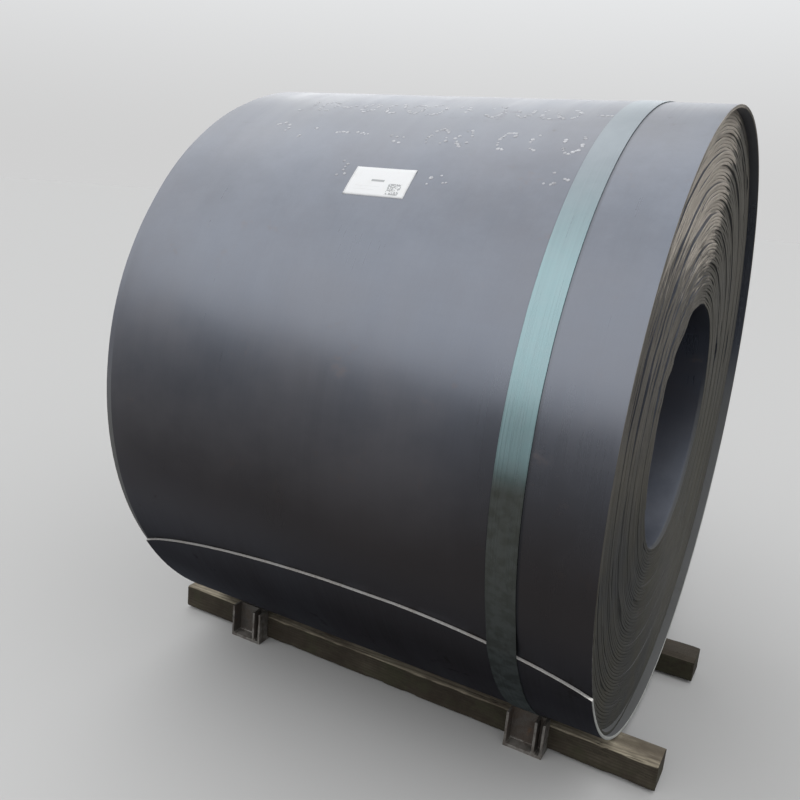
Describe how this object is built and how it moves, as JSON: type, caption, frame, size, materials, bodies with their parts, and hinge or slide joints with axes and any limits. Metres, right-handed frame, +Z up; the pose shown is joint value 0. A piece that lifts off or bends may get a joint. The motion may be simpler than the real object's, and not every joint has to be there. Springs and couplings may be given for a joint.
{
  "type": "steel coil",
  "caption": "Hot-rolled steel strip wound into a coil with an open bore, held by a flat steel band and lying on its side between tied timber bearers.",
  "frame": {"origin": "on the ground, below the middle of the coil's bore axis and midway along the bearers", "axes": "+X along the bore, towards the end with the band; +Y away from the strip's loose end; +Z up"},
  "size_m": [1.81, 1.9151, 1.957],
  "materials": {
    "strip_steel": "hot-rolled mill scale, dark blue grey, semi-matt",
    "band_steel": "blued strip, smooth",
    "sticker_paper": "matt white paper",
    "bearer_timber": "rough sawn, weathered",
    "tie_steel": "bare and lightly rusted"
  },
  "bodies": {
    "root": {"coil": "strip_steel", "band": "band_steel", "sticker": "sticker_paper", "bearer_front": "bearer_timber", "bearer_rear": "bearer_timber", "tie_left": "tie_steel", "tie_right": "tie_steel"}
  },
  "joints": []
}
